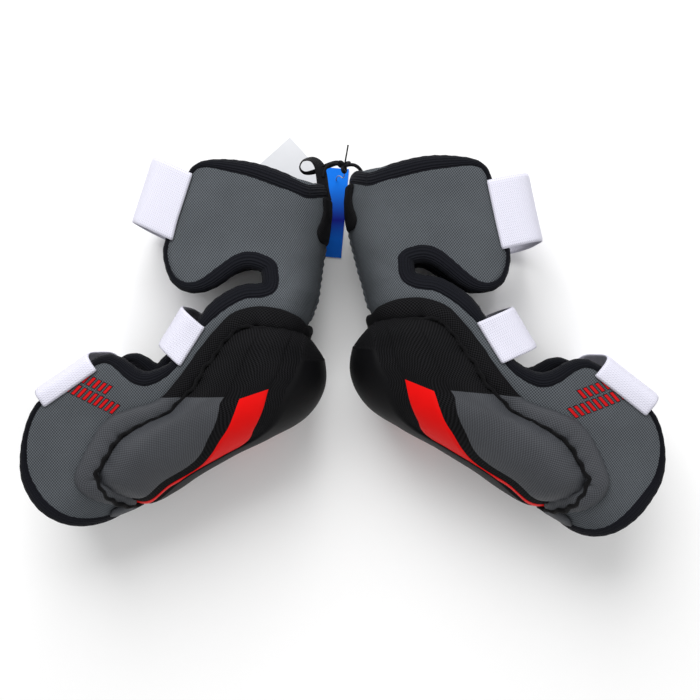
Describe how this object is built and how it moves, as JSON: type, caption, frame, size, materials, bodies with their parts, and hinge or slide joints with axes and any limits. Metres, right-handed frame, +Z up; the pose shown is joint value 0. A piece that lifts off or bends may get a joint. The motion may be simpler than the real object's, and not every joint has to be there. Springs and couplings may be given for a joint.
{
  "type": "ice hockey elbow pads",
  "caption": "Padded youth ice hockey elbow pads with cuffs, capped elbows and elastic straps, tied together at the cuffs.",
  "frame": {"origin": "centre of the bounding box's footprint, at the surface that the pads lie on", "axes": "+X from the left pad to the right pad, +Y from the wrists' end to the cuffs' end, +Z up, out of the surface"},
  "size_m": [0.3636, 0.2335, 0.0902],
  "materials": {
    "woven_cover": "matt woven",
    "cap_fabric": "matt woven",
    "pad_foam": "closed cell foam",
    "lining": "brushed knit",
    "edge_binding": "ribbed knit",
    "hook_and_loop": "hook and loop",
    "hard_plastic": "moulded",
    "cap_centre": "smooth, satin",
    "grey_synthetic_leather": "fine grain, satin",
    "red_synthetic_leather": "smooth, satin",
    "white_elastic": "ribbed elastic webbing",
    "tie_cord": "braided",
    "blue_card": "coated card",
    "white_card": "paper card"
  },
  "bodies": {
    "left_cuff": {"left_cuff_cover": "woven_cover", "left_cuff_foam": "pad_foam", "left_cuff_liner": "lining", "left_cuff_binding": "edge_binding", "left_cuff_back_patch": "edge_binding", "left_cuff_loop_patch": "hook_and_loop", "hang_loop": "tie_cord", "tie_cord": "tie_cord"},
    "left_guard": {"left_guard_cover": "woven_cover", "left_guard_foam": "pad_foam", "left_guard_liner": "lining", "left_guard_binding": "edge_binding", "left_neck_gusset": "woven_cover", "left_cap_flange": "cap_fabric", "left_cap_foam": "pad_foam", "left_cap_shell": "hard_plastic", "left_cap_dome": "cap_fabric", "left_cap_centre_panel": "cap_centre", "left_side_panel_near": "grey_synthetic_leather", "left_side_panel_far": "grey_synthetic_leather", "left_red_stripe_near": "red_synthetic_leather", "left_red_stripe_far": "red_synthetic_leather", "left_elbow_loop_patch": "hook_and_loop", "left_forearm_loop_patch": "hook_and_loop"},
    "left_cuff_strap": {"left_cuff_strap": "white_elastic", "left_cuff_hook_tab": "hook_and_loop"},
    "left_elbow_strap": {"left_elbow_strap": "white_elastic", "left_elbow_hook_tab": "hook_and_loop"},
    "left_forearm_strap": {"left_forearm_strap": "white_elastic", "left_forearm_hook_tab": "hook_and_loop"},
    "right_cuff": {"right_cuff_cover": "woven_cover", "right_cuff_foam": "pad_foam", "right_cuff_liner": "lining", "right_cuff_binding": "edge_binding", "right_cuff_back_patch": "edge_binding", "right_cuff_loop_patch": "hook_and_loop"},
    "right_guard": {"right_guard_cover": "woven_cover", "right_guard_foam": "pad_foam", "right_guard_liner": "lining", "right_guard_binding": "edge_binding", "right_neck_gusset": "woven_cover", "right_cap_flange": "cap_fabric", "right_cap_foam": "pad_foam", "right_cap_shell": "hard_plastic", "right_cap_dome": "cap_fabric", "right_cap_centre_panel": "cap_centre", "right_side_panel_near": "grey_synthetic_leather", "right_side_panel_far": "grey_synthetic_leather", "right_red_stripe_near": "red_synthetic_leather", "right_red_stripe_far": "red_synthetic_leather", "right_elbow_loop_patch": "hook_and_loop", "right_forearm_loop_patch": "hook_and_loop"},
    "right_cuff_strap": {"right_cuff_strap": "white_elastic", "right_cuff_hook_tab": "hook_and_loop"},
    "right_elbow_strap": {"right_elbow_strap": "white_elastic", "right_elbow_hook_tab": "hook_and_loop"},
    "right_forearm_strap": {"right_forearm_strap": "white_elastic", "right_forearm_hook_tab": "hook_and_loop"},
    "tags": {"hang_tag": "blue_card", "label_card": "white_card"}
  },
  "joints": [
    {"name": "left_elbow_flex", "type": "hinge", "parent": "left_cuff", "child": "left_guard", "pos_m": [-0.02645, 0.0288, 0.038], "axis": [0, 0, 1], "range_deg": [-5, 5], "deforming": ["left_neck_gusset"]},
    {"name": "left_cuff_strap_peel", "type": "hinge", "parent": "left_cuff", "child": "left_cuff_strap", "pos_m": [-0.08445, 0.0623, 0.0652], "axis": [0.3085, 0.9512, 0], "range_deg": [0, 100]},
    {"name": "left_elbow_strap_peel", "type": "hinge", "parent": "left_guard", "child": "left_elbow_strap", "pos_m": [-0.07895, -0.0137, 0.0786], "axis": [0.5263, 0.8503, 0], "range_deg": [0, 90]},
    {"name": "left_forearm_strap_peel", "type": "hinge", "parent": "left_guard", "child": "left_forearm_strap", "pos_m": [-0.14495, -0.0352, 0.0799], "axis": [0.8232, 0.5677, 0], "range_deg": [0, 90]},
    {"name": "right_elbow_flex", "type": "hinge", "parent": "right_cuff", "child": "right_guard", "pos_m": [0.03375, 0.0345, 0.038], "axis": [0, 0, -1], "range_deg": [-2, 5], "deforming": ["right_neck_gusset"]},
    {"name": "right_cuff_strap_peel", "type": "hinge", "parent": "right_cuff", "child": "right_cuff_strap", "pos_m": [0.09193, 0.06175, 0.0652], "axis": [0.2074, -0.9783, 0], "range_deg": [0, 100]},
    {"name": "right_elbow_strap_peel", "type": "hinge", "parent": "right_guard", "child": "right_elbow_strap", "pos_m": [0.08356, -0.01113, 0.0786], "axis": [0.4735, -0.8808, 0], "range_deg": [0, 90]},
    {"name": "right_forearm_strap_peel", "type": "hinge", "parent": "right_guard", "child": "right_forearm_strap", "pos_m": [0.14812, -0.03661, 0.0799], "axis": [0.787, -0.6169, 0], "range_deg": [0, 90]},
    {"name": "pair_swing", "type": "hinge", "parent": "left_cuff", "child": "right_cuff", "pos_m": [0.00525, 0.09, 0.044], "axis": [0, 0, 1], "range_deg": [0, 20]},
    {"name": "tag_swing", "type": "hinge", "parent": "left_cuff", "child": "tags", "pos_m": [0.00525, 0.09, 0.001], "axis": [0, 0, 1], "range_deg": [-8, 12]}
  ]
}
